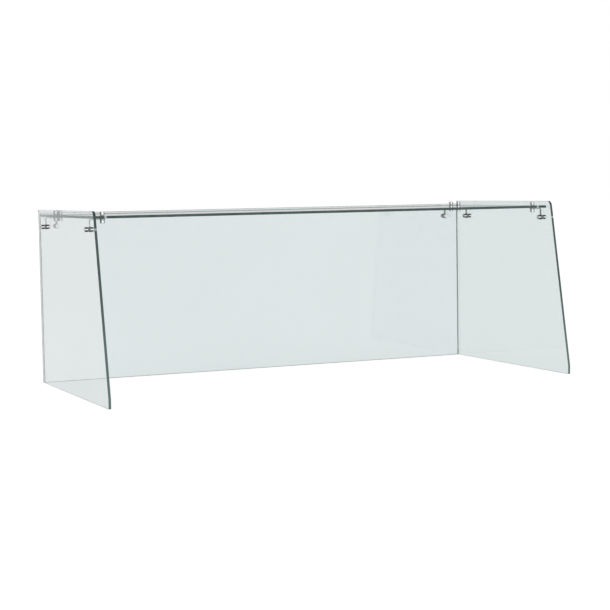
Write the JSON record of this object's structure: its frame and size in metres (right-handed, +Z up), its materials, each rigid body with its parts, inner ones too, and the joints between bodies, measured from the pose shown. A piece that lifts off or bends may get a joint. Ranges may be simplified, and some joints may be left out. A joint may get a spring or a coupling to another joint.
{
  "type": "sneeze guard",
  "caption": "Countertop glass sneeze guard: slanted side panels, a back panel and a level top shelf, clamped together by right-angle glass connectors.",
  "frame": {"origin": "on the counter, at the middle of the whole object's box, connector caps included", "axes": "+X along the guard's width to the right, +Y from the open front towards the back panel, +Z up from the counter"},
  "size_m": [1.218, 0.559, 0.432],
  "materials": {
    "glass": "clear tempered float glass, flat polished edges that look dark green",
    "bracket_steel": "fine satin stainless steel bar",
    "cap_steel": "turned and polished stainless steel",
    "stud_steel": "plain stainless thread",
    "clear_plastic": "clear soft plastic"
  },
  "bodies": {
    "root": {"left_side_glass": "glass", "right_side_glass": "glass", "back_glass": "glass", "top_shelf_glass": "glass", "left_front_bracket": "bracket_steel", "left_front_panel_outer_cap": "cap_steel", "left_front_panel_inner_cap": "cap_steel", "left_front_shelf_upper_cap": "cap_steel", "left_front_shelf_lower_cap": "cap_steel", "left_front_studs": "stud_steel", "left_front_washers": "clear_plastic", "left_front_gaskets": "clear_plastic", "left_front_bushes": "clear_plastic", "left_rear_bracket": "bracket_steel", "left_rear_panel_outer_cap": "cap_steel", "left_rear_panel_inner_cap": "cap_steel", "left_rear_shelf_upper_cap": "cap_steel", "left_rear_shelf_lower_cap": "cap_steel", "left_rear_studs": "stud_steel", "left_rear_washers": "clear_plastic", "left_rear_gaskets": "clear_plastic", "left_rear_bushes": "clear_plastic", "right_front_bracket": "bracket_steel", "right_front_panel_outer_cap": "cap_steel", "right_front_panel_inner_cap": "cap_steel", "right_front_shelf_upper_cap": "cap_steel", "right_front_shelf_lower_cap": "cap_steel", "right_front_studs": "stud_steel", "right_front_washers": "clear_plastic", "right_front_gaskets": "clear_plastic", "right_front_bushes": "clear_plastic", "right_rear_bracket": "bracket_steel", "right_rear_panel_outer_cap": "cap_steel", "right_rear_panel_inner_cap": "cap_steel", "right_rear_shelf_upper_cap": "cap_steel", "right_rear_shelf_lower_cap": "cap_steel", "right_rear_studs": "stud_steel", "right_rear_washers": "clear_plastic", "right_rear_gaskets": "clear_plastic", "right_rear_bushes": "clear_plastic", "back_left_bracket": "bracket_steel", "back_left_panel_outer_cap": "cap_steel", "back_left_panel_inner_cap": "cap_steel", "back_left_shelf_upper_cap": "cap_steel", "back_left_shelf_lower_cap": "cap_steel", "back_left_studs": "stud_steel", "back_left_washers": "clear_plastic", "back_left_gaskets": "clear_plastic", "back_left_bushes": "clear_plastic", "back_right_bracket": "bracket_steel", "back_right_panel_outer_cap": "cap_steel", "back_right_panel_inner_cap": "cap_steel", "back_right_shelf_upper_cap": "cap_steel", "back_right_shelf_lower_cap": "cap_steel", "back_right_studs": "stud_steel", "back_right_washers": "clear_plastic", "back_right_gaskets": "clear_plastic", "back_right_bushes": "clear_plastic"}
  },
  "joints": []
}
